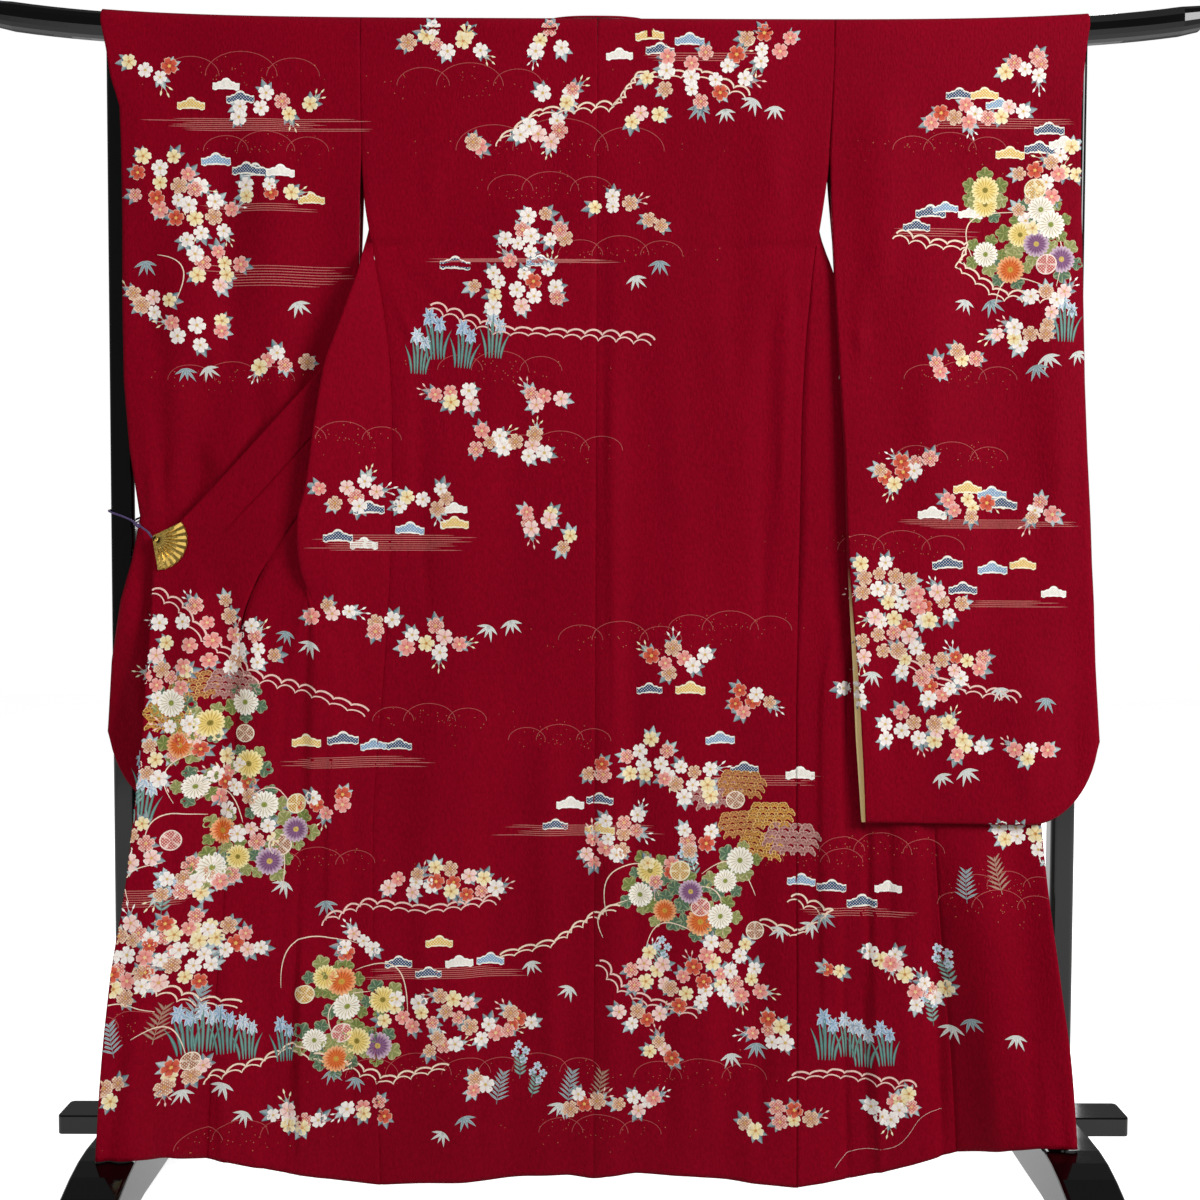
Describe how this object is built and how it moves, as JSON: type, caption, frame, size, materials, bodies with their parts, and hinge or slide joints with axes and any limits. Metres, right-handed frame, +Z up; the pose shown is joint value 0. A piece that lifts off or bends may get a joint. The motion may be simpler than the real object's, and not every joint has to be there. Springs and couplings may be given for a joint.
{
  "type": "furisode kimono on a kimono stand",
  "caption": "Long-sleeved crepe kimono hung from the back on a black lacquered stand, its fronts drawn out to the posts by fan clips on cords.",
  "frame": {"origin": "On the floor, in the middle of the stand's length and of its feet's depth.", "axes": "+X runs along the rail, to the right when looking at the back of the kimono. -Y is the way the back of the kimono faces. +Z is up."},
  "size_m": [1.69, 0.652, 1.7184],
  "materials": {
    "lacquer": "glossy black lacquer",
    "crepe": "fine-grained matt silk crepe, dyed and lined with white silk",
    "gilt": "bright gilt metal",
    "cord": "braided purple cord"
  },
  "bodies": {
    "root": {"stand_rail_middle": "lacquer", "stand_rail_left": "lacquer", "stand_rail_right": "lacquer", "stand_board": "lacquer", "stand_post_left": "lacquer", "stand_foot_left": "lacquer", "stand_post_right": "lacquer", "stand_foot_right": "lacquer", "body_back_left": "crepe", "body_front_left": "crepe", "body_back_right": "crepe", "body_front_right": "crepe", "okumi_left": "crepe", "okumi_right": "crepe", "sleeve_left": "crepe", "sleeve_right": "crepe", "collar": "crepe", "clip_left": "gilt", "clip_right": "gilt", "clip_cord_left": "cord", "clip_cord_right": "cord"}
  },
  "joints": []
}
